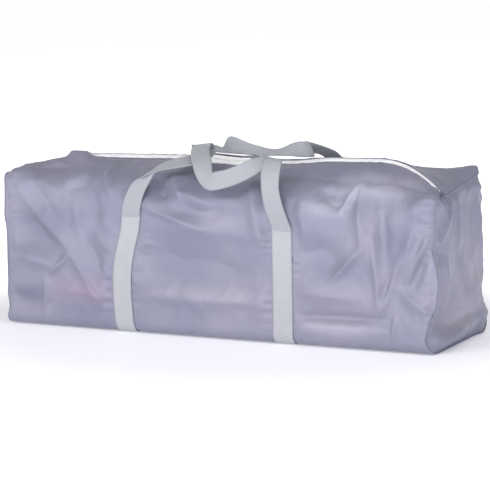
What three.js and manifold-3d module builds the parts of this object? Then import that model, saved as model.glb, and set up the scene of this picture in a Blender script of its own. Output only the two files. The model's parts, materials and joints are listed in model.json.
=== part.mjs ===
// A folding playpen packed in its zipped carry bag.
// Millimetres, +Z up. X runs along the bag, -Y is the front, and z = 0 is the ground.
// The origin is the middle of the ground under the bag.

import * as THREE from 'three';
import { mergeVertices } from 'three/addons/utils/BufferGeometryUtils.js';
import Module from 'manifold-3d';

const wasm = await Module();
wasm.setup();

const GAP = 0.3;                 // clearance between pieces that touch

// Bag
const HALF_LENGTH = 390;
const HALF_DEPTH = 124;          // front and rear walls at the bag's ends
const WALL_BULGE = 3;            // extra half depth at mid length
const FABRIC = 1.8;              // thickness of the bag's skin
const BASE_RADIUS = 18;          // rounded lower edges
const TOP_RADIUS = 30;           // rounded upper edges
const END_BULGE = 7;             // the end panels stand out this far

// Zip: a straight run along the crown, then it drops to the end seams
const ZIP_FROM = -325;
const ZIP_TO = 250;
const ZIP_LOW = 288;             // height at ZIP_FROM
const ZIP_HIGH = 297;            // height at ZIP_TO
const ZIP_TILT = 0.49;           // the zip's face leans forwards by this angle, in radians
const ZIP_LEFT_END = 270;        // height at the left end seam
const ZIP_RIGHT_END = 255;       // height at the right end seam
const ZIP_RIGHT_SHIFT = -50;     // the right end of the zip is pulled forwards
const TAPE_EDGE = 15;            // from the zip's centre to the fabric
const TAPE = 1.2;                // thickness
const TEETH_INNER = 0.9;
const TEETH_OUTER = 3.0;
const TEETH_BELOW = 1.6;         // teeth below and above the face of the tape
const TEETH_ABOVE = 0.9;
const SLIDER_X = -300;
const SLIDER = {
  length: 13, width: 9, plate: 1.3, web: 0.55, archHalf: 4, archWidth: 0.8, archHeight: 4.6, archBar: 1.5,
};
const PULL = { bar: 0.65, half: 3.2, legInner: 1.6, legEnd: 12, tab: 4, tabStart: 11, tabEnd: 34 };
const ZIP_END = { x: 378, length: 6, width: 14, low: -6, thickness: 1.6 };

// Upper long edges: height at the left and right ends, and how much of the crown each one takes
const FRONT_EDGE = { left: 263, right: 250, crown: 12.6 };
const REAR_EDGE = { left: 277, right: 275, crown: 5.4 };

// Webbing
const WEBBING = 35;
const BAND_THICKNESS = 1.5;
const HANDLE_THICKNESS = 2;
const BAND_TOP_LEFT = 206;
const BAND_TOP_RIGHT = 194;
const BAND_LEFT_X = -158;
const BAND_RIGHT_X = 133;
const BAND_LEFT_LEAN = 11;       // the top of a band stands this far along X from its foot
const BAND_RIGHT_LEAN = -3;
const STITCH_GAP = 1.4;          // the handle flexes over this gap above its band

// Folded playpen
const CORE_Z = 124;              // middle of the folded bundle
const BOARD = { length: 645, thickness: 18, side: 198, top: 192, radius: 6, low: 5.4, wrap: 10, lid: 3 };
const STRAP = { x: 150, width: 25, thickness: 0.9, radius: 10, low: 5.1 };
const POST = { spread: 76, radius: 14, wall: 1.5, length: 690 };
const CORNER = { size: 46, length: 44, hole: 15.6, radius: 8, x: 359 };
const FOOT = { radius: 21, length: 34, wall: 8, chamfer: 5 };
const RAIL = { radius: 9, wall: 1.3, long: 470, short: 325, inset: 28, tuck: 10 };
const LOCK = { length: 30, width: 25, overlap: 12, radius: 7 };
const FLOOR_LEG = { x: -200, spread: 22, radius: 8, wall: 1.2, length: 430 };
const HUB = { length: 56, size: 84, radius: 20 };
const FOLDED_WALL = {
  layers: 4, thickness: 3, pitch: 5.6, length: 440, x: 70, wide: 104, narrow: 56, spread: 50,
};

const group = new THREE.Group();

// ---------- helpers ----------

function smooth(value, from, to) {
  const t = Math.min(1, Math.max(0, (value - from) / (to - from)));
  return t * t * (3 - 2 * t);
}

function mix(a, b, t) {
  return a + (b - a) * t;
}

function add(name, geometry, look) {
  const bare = geometry.index ? geometry.toNonIndexed() : geometry;
  bare.deleteAttribute('normal');
  bare.deleteAttribute('uv');
  const merged = mergeVertices(bare, 1e-4);
  merged.computeVertexNormals();
  const mesh = new THREE.Mesh(merged, new THREE.MeshStandardMaterial(look));
  mesh.name = name;
  group.add(mesh);
  return mesh;
}

function fromTriangles(points, triangles) {
  const geometry = new THREE.BufferGeometry();
  geometry.setAttribute('position', new THREE.Float32BufferAttribute(points.flat(), 3));
  let volume = 0;
  const [a, b, c] = [new THREE.Vector3(), new THREE.Vector3(), new THREE.Vector3()];
  for (const [i, j, k] of triangles) {
    volume += a.fromArray(points[i]).dot(b.fromArray(points[j]).cross(c.fromArray(points[k])));
  }
  const outward = volume > 0 ? triangles : triangles.map(([i, j, k]) => [i, k, j]);
  geometry.setIndex(outward.flat());
  return geometry;
}

// A sheet with thickness: two grids of the same size, one on each face, closed round the rim.
function sheetSolid(top, bottom) {
  const rows = top.length;
  const columns = top[0].length;
  const last = columns - 1;
  const points = [...top.flat(), ...bottom.flat()];
  const triangles = [];
  const upper = (r, c) => r * columns + c;
  const lower = (r, c) => rows * columns + r * columns + c;
  const quad = (i, j, k, l) => triangles.push([i, j, k], [i, k, l]);
  for (let r = 0; r + 1 < rows; r += 1) {
    for (let c = 0; c + 1 < columns; c += 1) {
      quad(upper(r, c), upper(r + 1, c), upper(r + 1, c + 1), upper(r, c + 1));
      quad(lower(r, c), lower(r, c + 1), lower(r + 1, c + 1), lower(r + 1, c));
    }
    quad(upper(r, 0), lower(r, 0), lower(r + 1, 0), upper(r + 1, 0));
    quad(upper(r + 1, last), lower(r + 1, last), lower(r, last), upper(r, last));
  }
  for (let c = 0; c + 1 < columns; c += 1) {
    quad(upper(0, c + 1), lower(0, c + 1), lower(0, c), upper(0, c));
    quad(upper(rows - 1, c), lower(rows - 1, c), lower(rows - 1, c + 1), upper(rows - 1, c + 1));
  }
  return fromTriangles(points, triangles);
}

function toManifold(geometry) {
  const bare = geometry.index ? geometry.toNonIndexed() : geometry.clone();
  bare.deleteAttribute('normal');
  bare.deleteAttribute('uv');
  const merged = mergeVertices(bare, 1e-4);
  return new wasm.Manifold(new wasm.Mesh({
    numProp: 3,
    vertProperties: new Float32Array(merged.attributes.position.array),
    triVerts: new Uint32Array(merged.index.array),
  }));
}

function fromManifold(solid) {
  const mesh = solid.getMesh();
  const geometry = new THREE.BufferGeometry();
  geometry.setAttribute('position', new THREE.BufferAttribute(mesh.vertProperties, 3));
  geometry.setIndex(new THREE.BufferAttribute(mesh.triVerts, 1));
  return geometry;
}

function box(low, high) {
  const size = high.map((value, i) => value - low[i]);
  const geometry = new THREE.BoxGeometry(...size);
  return geometry.translate(...low.map((value, i) => value + size[i] / 2));
}

function boxUnion(boxes) {
  return fromManifold(boxes.map(([low, high]) => toManifold(box(low, high)))
    .reduce((sum, solid) => sum.add(solid)));
}

// A round tube along X, open at both ends.
function tubeAlongX(radius, wall, length, sides) {
  const half = length / 2;
  const profile = [
    [radius - wall, -half], [radius, -half], [radius, half], [radius - wall, half],
    [radius - wall, -half],
  ].map(([r, y]) => new THREE.Vector2(r, y));
  return new THREE.LatheGeometry(profile, sides).rotateZ(-Math.PI / 2);
}

function roundedRectangle(width, height, radius) {
  const shape = new THREE.Shape();
  const [w, h] = [width / 2, height / 2];
  shape.moveTo(-w + radius, -h);
  shape.lineTo(w - radius, -h).absarc(w - radius, -h + radius, radius, -Math.PI / 2, 0);
  shape.lineTo(w, h - radius).absarc(w - radius, h - radius, radius, 0, Math.PI / 2);
  shape.lineTo(-w + radius, h).absarc(-w + radius, h - radius, radius, Math.PI / 2, Math.PI);
  shape.lineTo(-w, -h + radius).absarc(-w + radius, -h + radius, radius, Math.PI, Math.PI * 1.5);
  return shape;
}

// Extrudes a (y, z) shape along X, centred on x = 0.
function extrudeAlongX(shape, length, curveSegments = 3) {
  const geometry = new THREE.ExtrudeGeometry(shape, { depth: length, bevelEnabled: false, curveSegments });
  return geometry.translate(0, 0, -length / 2).rotateY(Math.PI / 2).rotateX(Math.PI / 2);
}

// ---------- the bag's surface ----------

const ZIP_SLOPE = (ZIP_HIGH - ZIP_LOW) / (ZIP_TO - ZIP_FROM);

function zipY(x) {
  const past = HALF_LENGTH + 40;   // the bend is still under way at the end seam
  return ZIP_RIGHT_SHIFT * smooth(x, ZIP_TO, past) / smooth(HALF_LENGTH, ZIP_TO, past);
}

function zipZ(x) {
  const line = ZIP_LOW + ZIP_SLOPE * (Math.min(ZIP_TO, Math.max(ZIP_FROM, x)) - ZIP_FROM);
  const left = (ZIP_FROM - Math.min(x, ZIP_FROM)) / (HALF_LENGTH + ZIP_FROM);
  const right = (Math.max(x, ZIP_TO) - ZIP_TO) / (HALF_LENGTH - ZIP_TO);
  return line - (ZIP_LOW - ZIP_LEFT_END) * left ** 2 - (ZIP_HIGH - ZIP_RIGHT_END) * right ** 2;
}

// A point on or near the zip: across it (rearwards and up) and out of its leaning face.
function onZip(x, across, out) {
  const [c, s] = [Math.cos(ZIP_TILT), Math.sin(ZIP_TILT)];
  return [x, zipY(x) + across * c - out * s, zipZ(x) + across * s + out * c];
}

// Height of the upper long edges: the right front corner is slumped, the rear ones stand up.
function edgeZ(x, side) {
  const u = (x + HALF_LENGTH) / (2 * HALF_LENGTH);
  const { left, right, crown } = side < 0 ? FRONT_EDGE : REAR_EDGE;
  return mix(left, right, u) + crown * (1 - (2 * u - 1) ** 2);
}

function halfDepth(x) {
  return HALF_DEPTH + WALL_BULGE * (1 - (x / HALF_LENGTH) ** 2);
}

// One half of the cross-section at x, from the zip (first point) to the middle of the base.
// side is -1 for the front half and +1 for the rear half; offset moves it outwards.
function halfSection(x, side, offset) {
  const depth = halfDepth(x);
  const shoulder = edgeZ(x, side);
  const base = FABRIC;
  const [, zipEdgeY, zipEdgeZ] = onZip(x, side * (TAPE_EDGE + GAP), 0);
  const shoulderY = side * (depth - TOP_RADIUS);
  const outline = [];
  for (let i = 0; i < 3; i += 1) {
    const t = i / 3;
    outline.push([mix(zipEdgeY, shoulderY, t), mix(zipEdgeZ, shoulder + 2, t)]);
  }
  for (let i = 0; i <= 4; i += 1) {
    const angle = (i / 4) * Math.PI / 2;
    outline.push([
      side * (depth - TOP_RADIUS * (1 - Math.sin(angle))),
      shoulder + 2 - TOP_RADIUS * (1 - Math.cos(angle)),
    ]);
  }
  for (let i = 1; i < 3; i += 1) {
    outline.push([side * depth, mix(shoulder - TOP_RADIUS, base + BASE_RADIUS, i / 3)]);
  }
  for (let i = 0; i <= 3; i += 1) {
    const angle = (i / 3) * Math.PI / 2;
    outline.push([
      side * (depth - BASE_RADIUS * (1 - Math.cos(angle))),
      base + BASE_RADIUS * (1 - Math.sin(angle)),
    ]);
  }
  outline.push([side * depth * 0.4, base], [0, base]);
  return outline.map((point, i) => {
    const before = outline[Math.max(0, i - 1)];
    const after = outline[Math.min(outline.length - 1, i + 1)];
    const along = [after[0] - before[0], after[1] - before[1]];
    const size = Math.hypot(...along);
    if (i === 0) return onZip(x, side * (TAPE_EDGE + GAP), offset);
    return [x, point[0] + offset * side * -along[1] / size, point[1] + offset * side * along[0] / size];
  });
}

function wrapSection(x, offset) {
  const front = halfSection(x, -1, offset);
  const rear = halfSection(x, 1, offset);
  return [...front, ...rear.reverse().slice(1)];
}

// Sections along the bag, closer together where the zip bends
const BAG_STATIONS = [
  -HALF_LENGTH, -375, -355, ZIP_FROM, -265, -205, -140, -90, -40, 10,
  60, 110, 151, 200, ZIP_TO, 285, 315, 345, 370, HALF_LENGTH,
];

const FABRIC_LOOK = { color: 0x9c9bb2, roughness: 0.72, metalness: 0 };
const WEBBING_LOOK = { color: 0xc6c6ce, roughness: 0.8, metalness: 0 };

function bodyPanel() {
  const outer = BAG_STATIONS.map((x) => wrapSection(x, 0));
  const inner = BAG_STATIONS.map((x) => wrapSection(x, -FABRIC));
  add('body_panel', sheetSolid(outer, inner), FABRIC_LOOK);
}

// An end panel closes the section from the zip down to the base, a little domed.
function endPanel(name, side) {
  const front = halfSection(side * HALF_LENGTH, -1, 0).slice(0, -2);
  const rear = halfSection(side * HALF_LENGTH, 1, 0).slice(0, -2);
  const columns = 6;
  const face = (offset) => front.map((point, row) => {
    const line = [];
    for (let c = 0; c <= columns; c += 1) {
      const t = c / columns;
      const across = Math.sin(Math.PI * t);
      const up = Math.sin(Math.PI * Math.min(1, row / (front.length - 1)));
      const x = side * (HALF_LENGTH + GAP + offset + END_BULGE * across * up);
      line.push([x, mix(point[1], rear[row][1], t), mix(point[2], rear[row][2], t)]);
    }
    return line;
  });
  add(name, sheetSolid(face(FABRIC), face(0)), { color: 0x8e8d9f, roughness: 0.74, metalness: 0 });
}

// ---------- zip ----------

function zipStrip(name, side, from, to, below, above, look) {
  const across = (x, out) => [from, to].map((distance) => onZip(x, side * distance, out));
  const face = (out) => BAG_STATIONS.map((x) => across(x, out));
  add(name, sheetSolid(face(above), face(-below)), look);
}

function zip() {
  const tape = { color: 0xe5e3e5, roughness: 0.85, metalness: 0 };
  const teeth = { color: 0xefeef0, roughness: 0.4, metalness: 0 };
  for (const [place, side] of [['front', -1], ['rear', 1]]) {
    zipStrip(`${place}_zip_tape`, side, TEETH_OUTER + GAP, TAPE_EDGE, TAPE, 0, tape);
    zipStrip(`${place}_zip_teeth`, side, TEETH_INNER, TEETH_OUTER, TEETH_BELOW, TEETH_ABOVE, teeth);
  }
}

const PLATE_LOW = TEETH_ABOVE + GAP;
const PLATE_TOP = PLATE_LOW + SLIDER.plate;
const PIN_HEIGHT = PLATE_TOP + 1.5;   // middle of the pull's cross bar

function placeOnZip(mesh, x, slope) {
  mesh.rotation.set(ZIP_TILT, -Math.atan(slope), 0, 'YXZ');
  mesh.position.set(x, zipY(x), zipZ(x));
}

function zipSlider() {
  const half = [SLIDER.length / 2, SLIDER.width / 2];
  const underLow = -TEETH_BELOW - GAP - SLIDER.plate;
  const { archHalf: arch, archWidth: wide, archBar: bar } = SLIDER;
  const archLow = PLATE_LOW + 0.2;   // sunk into the upper plate
  const archTop = PLATE_TOP + SLIDER.archHeight;
  const geometry = boxUnion([
    [[-half[0], -half[1], PLATE_LOW], [half[0], half[1], PLATE_TOP]],
    [[-half[0], -half[1], underLow], [half[0], half[1], underLow + SLIDER.plate]],
    [[-half[0], -SLIDER.web, underLow], [half[0], SLIDER.web, PLATE_TOP]],
    [[-arch, -wide, archLow], [-arch + bar, wide, archTop]],
    [[arch - bar, -wide, archLow], [arch, wide, archTop]],
    [[-arch, -wide, archTop - bar], [arch, wide, archTop]],
  ]);
  const slider = add('zip_slider', geometry, { color: 0xd9d9dd, roughness: 0.35, metalness: 0.4 });
  placeOnZip(slider, SLIDER_X, ZIP_SLOPE);
}

// The pull lies towards the bag's left end; its cross bar turns under the slider's arch.
function zipPull() {
  const { bar, half, legInner, legEnd, tab, tabStart, tabEnd } = PULL;
  const low = PIN_HEIGHT - bar;
  const high = PIN_HEIGHT + bar;
  const geometry = boxUnion([
    [[-bar, -half, low], [bar, half, high]],
    [[-legEnd, -half, low], [bar, -legInner, high]],
    [[-legEnd, legInner, low], [bar, half, high]],
    [[-tabEnd, -tab, low], [-tabStart, tab, high]],
  ]);
  const pull = add('zip_pull', geometry, { color: 0xe2e2e6, roughness: 0.4, metalness: 0.2 });
  placeOnZip(pull, SLIDER_X, ZIP_SLOPE);
}

// A fabric tab closes the tape under each end of the zip.
function zipEnd(name, x) {
  const { length, width, low, thickness } = ZIP_END;
  const geometry = box([-length / 2, -width / 2, low], [length / 2, width / 2, low + thickness]);
  placeOnZip(add(name, geometry, { color: 0xd0cfd8, roughness: 0.6, metalness: 0 }), x, 0);
}

// ---------- webbing ----------

// A sewn band runs down the front, under the base and up the rear.
function webbingBand(name, footX, lean, top) {
  const leanAt = (z) => lean * smooth(z, 20, top);
  const rows = [];
  const rowsBack = [];
  for (const edge of [-WEBBING / 2, WEBBING / 2]) {
    const line = [];
    const lineBack = [];
    for (const side of [-1, 1]) {
      const near = (offset) => {
        const outline = halfSection(footX, side, offset).slice(7);
        outline[0] = [footX, outline[0][1], top - STITCH_GAP];
        outline.splice(1, 0, [footX, outline[0][1], mix(top, outline[1][2], 0.4)]);
        const placed = outline.map(([, y, z]) => [footX + edge + leanAt(z), y, z]);
        return side < 0 ? placed : placed.reverse().slice(1);
      };
      line.push(...near(GAP + BAND_THICKNESS));
      lineBack.push(...near(GAP));
    }
    rows.push(line);
    rowsBack.push(lineBack);
  }
  add(name, sheetSolid(rows, rowsBack), WEBBING_LOOK);
}

// A handle is a ribbon through rows of two edge points, as it lies flopped on the bag.
function ribbon(name, rows, stepsPerRow) {
  const edges = [0, 1].map((e) => new THREE.CatmullRomCurve3(
    rows.map((row) => new THREE.Vector3(...row[e])), false, 'centripetal'));
  const steps = (rows.length - 1) * stepsPerRow;
  const top = [];
  const bottom = [];
  for (let i = 0; i <= steps; i += 1) {
    const t = i / steps;
    const [p, q] = edges.map((curve) => curve.getPoint(t));
    const along = edges[0].getTangent(t).add(edges[1].getTangent(t));
    const normal = q.clone().sub(p).cross(along).normalize().multiplyScalar(HANDLE_THICKNESS / 2);
    top.push([p, q].map((point) => point.clone().add(normal).toArray()));
    bottom.push([p, q].map((point) => point.clone().sub(normal).toArray()));
  }
  add(name, sheetSolid(top, bottom), WEBBING_LOOK);
}

const BAND_Y = 129.8;            // middle of the handle's thickness at its stitched ends

// Both handles start at the left band and end at the right one.
const FRONT_HANDLE = [
  [[-129, -BAND_Y, BAND_TOP_LEFT], [-164, -BAND_Y, BAND_TOP_LEFT]],
  [[-122, -131, 233], [-156, -131, 231]],
  [[-111, -132, 254], [-145, -132, 251]],
  [[-103, -124, 273], [-134, -134, 261]],
  [[-104, -104, 285], [-118, -135, 268]],
  [[-92, -85, 293], [-94, -117, 277]],
  [[-66, -70, 299], [-62, -100, 283]],
  [[-53, -59, 304], [-34, -87, 290]],
  [[-54, -50, 308], [-22, -62, 302]],
  [[-58, -46, 313.5], [-24, -50, 312.5]],
  [[-63, -55, 316], [-29, -57, 321]],
  [[-61, -70, 311], [-26, -71, 315]],
  [[-52, -91, 303], [-17, -91, 308]],
  [[-38, -115, 292], [-3, -113, 298.5]],
  [[-23, -133, 274], [9, -135, 282]],
  [[-9, -140, 258], [12, -139, 279]],
  [[6, -142, 250], [16, -141, 281]],
  [[28, -141, 253], [34, -140, 285]],
  [[60, -139, 264], [57, -134, 294]],
  [[86, -131, 279], [74, -122, 303]],
  [[101, -120, 291], [84, -108, 306]],
  [[114, -111, 298.5], [88, -99, 307]],
  [[123, -112, 301.5], [92, -105, 305.5]],
  [[128, -124, 297.5], [95, -121, 299]],
  [[130, -137, 282], [97, -137, 281]],
  [[130, -140, 257], [99, -140, 256]],
  [[136, -136, 227], [103, -136, 226]],
  [[147, -BAND_Y, BAND_TOP_RIGHT], [112, -BAND_Y, BAND_TOP_RIGHT]],
];

const REAR_HANDLE = [
  [[-129, BAND_Y, BAND_TOP_LEFT], [-164, BAND_Y, BAND_TOP_LEFT]],
  [[-129, 137, 237], [-164, 137, 237]],
  [[-127, 142, 267], [-162, 141, 269]],
  [[-120, 127, 294], [-153, 118, 299]],
  [[-106, 97, 306], [-134, 82, 304]],
  [[-90, 71, 307], [-102, 53, 300]],
  [[-70, 51, 308.5], [-70, 37, 298]],
  [[-50, 35, 315], [-43, 27, 298.5]],
  [[-31, 27, 321], [-20, 22, 301]],
  [[9, 26, 320], [5, 21, 301.5]],
  [[51, 38, 311], [48, 21, 302]],
  [[90, 28, 321], [80, 21, 302.5]],
  [[106, 24, 322], [104, 21, 303]],
  [[121, 27, 321], [122, 25, 302.5]],
  [[126, 36, 319], [127, 36, 300.5]],
  [[116, 46, 318], [117, 47, 298]],
  [[99, 52, 318], [100, 53, 298]],
  [[91, 63, 318], [92, 65, 298]],
  [[102, 76, 316], [91, 77, 298]],
  [[117, 93, 308.5], [89, 88, 297]],
  [[129, 118, 303], [97, 111, 297]],
  [[138, 134, 277], [105, 134, 279]],
  [[145, 135, 245], [111, 135, 245]],
  [[147, BAND_Y, BAND_TOP_RIGHT], [112, BAND_Y, BAND_TOP_RIGHT]],
];

// ---------- the folded playpen inside ----------

const CORNERS = [[-1, -1], [1, -1], [-1, 1], [1, 1]];
const CORNER_NAMES = ['front_low', 'rear_low', 'front_high', 'rear_high'];

function mattress() {
  const look = { color: 0xc4a3ad, roughness: 0.9, metalness: 0 };
  const { length, thickness, side, top } = BOARD;
  const sideY = side / 2 + BOARD.wrap;
  const boards = [
    ['mattress_base_board', top, thickness, 0, BOARD.low + thickness / 2],
    ['mattress_front_board', thickness, side, -sideY, CORE_Z],
    ['mattress_rear_board', thickness, side, sideY, CORE_Z],
    ['mattress_top_board', top, thickness, 0, CORE_Z + side / 2 + BOARD.lid + thickness / 2],
  ];
  for (const [name, width, height, y, z] of boards) {
    const outline = roundedRectangle(width, height, BOARD.radius);
    add(name, extrudeAlongX(outline, length), look).position.set(0, y, z);
  }
}

function mattressStrap(name, x) {
  const { side, thickness, wrap, lid } = BOARD;
  const { low, radius } = STRAP;
  const width = side + 2 * wrap + thickness + 2 * GAP;
  const high = CORE_Z + side / 2 + lid + thickness + GAP;
  const outline = roundedRectangle(width + 2 * STRAP.thickness, high - low + 2 * STRAP.thickness, radius);
  outline.holes.push(roundedRectangle(width, high - low, radius - STRAP.thickness));
  add(name, extrudeAlongX(outline, STRAP.width), { color: 0x4a4a52, roughness: 0.9, metalness: 0 })
    .position.set(x, 0, (low + high) / 2);
}

const FRAME_LOOK = { color: 0xb9bcc2, roughness: 0.4, metalness: 0.7 };
const PLASTIC_LOOK = { color: 0x55565e, roughness: 0.55, metalness: 0 };

function cornerPosts() {
  CORNERS.forEach(([sideY, sideZ], i) => {
    const y = sideY * POST.spread;
    const z = CORE_Z + sideZ * POST.spread;
    add(`${CORNER_NAMES[i]}_post`, tubeAlongX(POST.radius, POST.wall, POST.length, 14), FRAME_LOOK)
      .position.set(0, y, z);
    const sleeve = roundedRectangle(CORNER.size, CORNER.size, CORNER.radius);
    sleeve.holes.push(new THREE.Path().absarc(0, 0, CORNER.hole, 0, Math.PI * 2));
    add(`${CORNER_NAMES[i]}_top_corner`, extrudeAlongX(sleeve, CORNER.length, 4), PLASTIC_LOOK)
      .position.set(CORNER.x, y, z);
    const { radius, length, wall, chamfer } = FOOT;
    const socket = POST.radius + GAP;
    const foot = [[0, 2], [radius - chamfer, 0], [radius, chamfer], [radius, length - 4],
      [radius - 3, length], [socket, length], [socket, wall], [0, wall]]
      .map(([r, h]) => new THREE.Vector2(r, h));
    add(`${CORNER_NAMES[i]}_foot`, new THREE.LatheGeometry(foot, 14).rotateZ(-Math.PI / 2), PLASTIC_LOOK)
      .position.set(-POST.length / 2 - wall - GAP, y, z);
  });
}

// Each upper rail is two tubes that hang down beside the posts when folded, joined by a lock.
function topRails() {
  const start = POST.length / 2 - RAIL.tuck;
  const inner = POST.spread - RAIL.inset;
  const tube = (length) => tubeAlongX(RAIL.radius, RAIL.wall, length, 10);
  CORNERS.forEach(([sideY, sideZ], i) => {
    add(`${CORNER_NAMES[i]}_long_rail`, tube(RAIL.long), FRAME_LOOK)
      .position.set(start - RAIL.long / 2, sideY * inner, CORE_Z + sideZ * POST.spread);
    add(`${CORNER_NAMES[i]}_short_rail`, tube(RAIL.short), FRAME_LOOK)
      .position.set(start - RAIL.short / 2, sideY * POST.spread, CORE_Z + sideZ * inner);
  });
  const span = 2 * inner + 2 * LOCK.overlap;
  const lock = (wide, high) => extrudeAlongX(roundedRectangle(wide, high, LOCK.radius), LOCK.length);
  const lockX = (rail) => start - rail - LOCK.length / 2 - GAP;
  for (const [name, side] of [['low', -1], ['high', 1]]) {
    add(`${name}_long_rail_lock`, lock(span, LOCK.width), PLASTIC_LOOK)
      .position.set(lockX(RAIL.long), 0, CORE_Z + side * POST.spread);
  }
  for (const [name, side] of [['front', -1], ['rear', 1]]) {
    add(`${name}_short_rail_lock`, lock(LOCK.width, span), PLASTIC_LOOK)
      .position.set(lockX(RAIL.short), side * POST.spread, CORE_Z);
  }
}

function floorFrame() {
  const { x, spread, radius, wall, length } = FLOOR_LEG;
  CORNERS.forEach(([sideY, sideZ], i) => {
    add(`${CORNER_NAMES[i]}_floor_leg`, tubeAlongX(radius, wall, length, 10), FRAME_LOOK)
      .position.set(x + length / 2, sideY * spread, CORE_Z + sideZ * spread);
  });
  add('floor_hub', extrudeAlongX(roundedRectangle(HUB.size, HUB.size, HUB.radius), HUB.length), PLASTIC_LOOK)
    .position.set(x - HUB.length / 2 - GAP, 0, CORE_Z);
}

// A wall of mesh and cloth, folded back and forth between the rails.
function foldedWall(name, width, turn, y, z) {
  const { layers, thickness, pitch, length } = FOLDED_WALL;
  const half = width / 2;
  const lowOf = (i) => (i - (layers - 1) / 2) * pitch - thickness / 2;
  const boxes = [];
  for (let i = 0; i < layers; i += 1) {
    boxes.push([[-length / 2, -half, lowOf(i)], [length / 2, half, lowOf(i) + thickness]]);
  }
  for (let i = 0; i + 1 < layers; i += 1) {
    const foldY = i % 2 === 0 ? half - thickness : -half;
    boxes.push([[-length / 2, foldY, lowOf(i)], [length / 2, foldY + thickness, lowOf(i + 1) + thickness]]);
  }
  const mesh = add(name, boxUnion(boxes), { color: 0x8b8a9c, roughness: 0.9, metalness: 0 });
  mesh.rotation.x = turn;
  mesh.position.set(FOLDED_WALL.x, y, z);
}

// ---------- assembly ----------

bodyPanel();
endPanel('left_end_panel', -1);
endPanel('right_end_panel', 1);
zip();
zipSlider();
zipPull();
zipEnd('left_zip_end', -ZIP_END.x);
zipEnd('right_zip_end', ZIP_END.x);
webbingBand('left_webbing_band', BAND_LEFT_X, BAND_LEFT_LEAN, BAND_TOP_LEFT);
webbingBand('right_webbing_band', BAND_RIGHT_X, BAND_RIGHT_LEAN, BAND_TOP_RIGHT);
ribbon('front_handle', FRONT_HANDLE, 3);
ribbon('rear_handle', REAR_HANDLE, 3);
mattress();
mattressStrap('left_mattress_strap', -STRAP.x);
mattressStrap('right_mattress_strap', STRAP.x);
cornerPosts();
topRails();
floorFrame();
foldedWall('low_folded_wall', FOLDED_WALL.wide, 0, 0, CORE_Z - FOLDED_WALL.spread);
foldedWall('high_folded_wall', FOLDED_WALL.wide, 0, 0, CORE_Z + FOLDED_WALL.spread);
foldedWall('front_folded_wall', FOLDED_WALL.narrow, Math.PI / 2, -FOLDED_WALL.spread, CORE_Z);
foldedWall('rear_folded_wall', FOLDED_WALL.narrow, Math.PI / 2, FOLDED_WALL.spread, CORE_Z);

export default group;
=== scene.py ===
"""A folding playpen packed in its zipped carry bag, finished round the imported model. Metres, +Z up."""

import json
import math

import bmesh
import bpy
import numpy as np
from mathutils import Matrix, Vector, noise


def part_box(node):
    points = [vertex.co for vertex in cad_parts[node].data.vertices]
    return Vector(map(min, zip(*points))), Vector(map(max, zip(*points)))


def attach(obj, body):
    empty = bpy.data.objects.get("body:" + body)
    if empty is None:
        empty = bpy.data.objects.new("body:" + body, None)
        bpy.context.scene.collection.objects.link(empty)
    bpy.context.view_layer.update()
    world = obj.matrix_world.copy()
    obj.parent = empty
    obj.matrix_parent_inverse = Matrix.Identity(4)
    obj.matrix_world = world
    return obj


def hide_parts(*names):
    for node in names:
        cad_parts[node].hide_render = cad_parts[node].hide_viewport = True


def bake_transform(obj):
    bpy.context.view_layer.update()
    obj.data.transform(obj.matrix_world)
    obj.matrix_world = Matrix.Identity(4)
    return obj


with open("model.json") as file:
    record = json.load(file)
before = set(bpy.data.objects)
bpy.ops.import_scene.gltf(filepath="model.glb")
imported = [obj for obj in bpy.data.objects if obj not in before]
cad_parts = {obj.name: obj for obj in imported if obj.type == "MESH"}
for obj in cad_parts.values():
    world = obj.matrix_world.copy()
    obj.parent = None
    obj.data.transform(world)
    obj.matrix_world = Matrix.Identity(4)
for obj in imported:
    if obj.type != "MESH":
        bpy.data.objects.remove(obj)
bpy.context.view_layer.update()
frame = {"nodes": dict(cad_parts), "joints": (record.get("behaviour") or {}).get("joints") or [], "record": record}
MM = 0.001

# ---------------------------------------------------------------- camera, light and floor

VIEW_AZIMUTH = math.radians(24.6)
VIEW_ELEVATION = math.radians(7.2)
VIEW_DISTANCE = 3.4
VIEW_LENS = 146
VIEW_TARGET = Vector((0.006, 0.0, 0.1435))


def make_camera():
    back = Vector((math.sin(VIEW_AZIMUTH) * math.cos(VIEW_ELEVATION),
                   -math.cos(VIEW_AZIMUTH) * math.cos(VIEW_ELEVATION),
                   math.sin(VIEW_ELEVATION)))
    data = bpy.data.cameras.new("camera")
    data.lens = VIEW_LENS
    data.clip_end = 50
    camera = bpy.data.objects.new("camera", data)
    camera.location = VIEW_TARGET + back * VIEW_DISTANCE
    camera.rotation_mode = "QUATERNION"
    camera.rotation_quaternion = (-back).to_track_quat("-Z", "Y")
    bpy.context.scene.collection.objects.link(camera)
    bpy.context.scene.camera = camera


def make_softbox(name, place, aim, size, power):
    data = bpy.data.lights.new(name, "AREA")
    data.shape = "RECTANGLE"
    data.size, data.size_y = size
    data.energy = power
    light = bpy.data.objects.new(name, data)
    light.location = place
    light.rotation_mode = "QUATERNION"
    light.rotation_quaternion = (Vector(aim) - Vector(place)).to_track_quat("-Z", "Y")
    bpy.context.scene.collection.objects.link(light)


def make_sky():
    """White all round the horizon and dimmer overhead, so that folds keep their shading."""
    world = bpy.data.worlds.new("studio")
    world.use_nodes = True
    tree = world.node_tree
    place = node(tree, "ShaderNodeTexCoord").outputs["Generated"]
    height = node(tree, "ShaderNodeSeparateXYZ", [(0, place)]).outputs[2]
    fade = node(tree, "ShaderNodeMapRange", [(0, height)], interpolation_type="SMOOTHSTEP",
                From_Min=0.10, From_Max=0.45, To_Min=1.0, To_Max=0.30)
    tree.links.new(fade.outputs[0], tree.nodes["Background"].inputs["Strength"])
    tree.nodes["Background"].inputs["Color"].default_value = (1, 1, 1, 1)
    bpy.context.scene.world = world


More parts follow.
